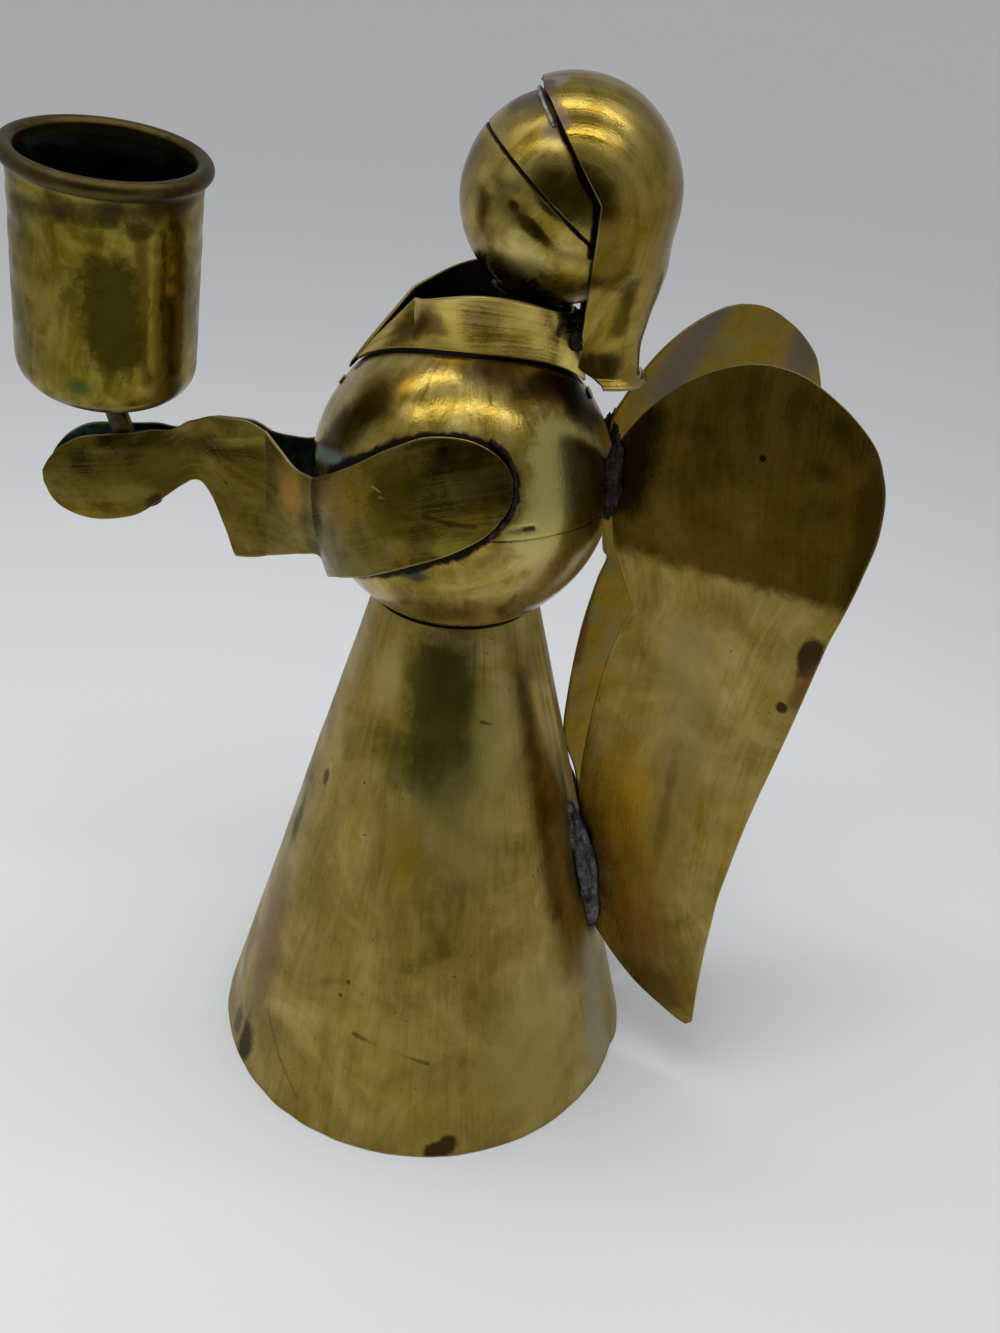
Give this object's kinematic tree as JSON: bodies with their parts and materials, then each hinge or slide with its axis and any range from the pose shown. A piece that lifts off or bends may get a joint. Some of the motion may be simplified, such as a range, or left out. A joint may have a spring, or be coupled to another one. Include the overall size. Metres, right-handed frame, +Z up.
{
  "type": "angel candle holder",
  "caption": "Standing angel of soldered sheet brass with a cone skirt, ball chest and head, hair hood, wings, and folded arms that hold up a candle cup on a rod.",
  "frame": {"origin": "centre of the skirt's foot circle, on the surface that the figure stands on", "axes": "+Z up; the figure faces -Y and holds its cup there; its own left side is +X"},
  "size_m": [0.12, 0.1933, 0.2628],
  "materials": {
    "skirt_brass": "aged, brushed, mottled",
    "ball_brass": "aged, polished, heat stained",
    "hair_brass": "aged, polished",
    "wing_brass": "aged, brushed, scratched",
    "arm_brass": "aged, worn",
    "collar_brass": "aged, heat stained",
    "cup_brass": "aged, darkened inside",
    "rod_brass": "dark, oxidised",
    "lead_solder": "dull grey, lumpy"
  },
  "bodies": {
    "root": {"skirt_cone": "skirt_brass", "waist_solder": "lead_solder", "chest_lower_half": "ball_brass", "chest_upper_half": "ball_brass", "neck_tube": "rod_brass", "neck_solder_lower": "lead_solder", "neck_solder_upper": "lead_solder", "collar_band": "collar_brass", "collar_solder_front": "lead_solder", "collar_solder_back": "lead_solder", "head_front_half": "ball_brass", "head_back_half": "ball_brass", "hair_hood": "hair_brass", "left_hair_solder": "lead_solder", "right_hair_solder": "lead_solder", "hair_solder_top": "lead_solder", "left_arm": "arm_brass", "right_arm": "arm_brass", "left_shoulder_solder": "lead_solder", "right_shoulder_solder": "lead_solder", "cup_rod": "rod_brass", "palm_solder": "lead_solder", "cup_solder": "lead_solder", "candle_cup": "cup_brass", "left_wing": "wing_brass", "right_wing": "wing_brass", "left_wing_chest_solder": "lead_solder", "right_wing_chest_solder": "lead_solder", "left_wing_skirt_solder": "lead_solder", "right_wing_skirt_solder": "lead_solder"}
  },
  "joints": []
}
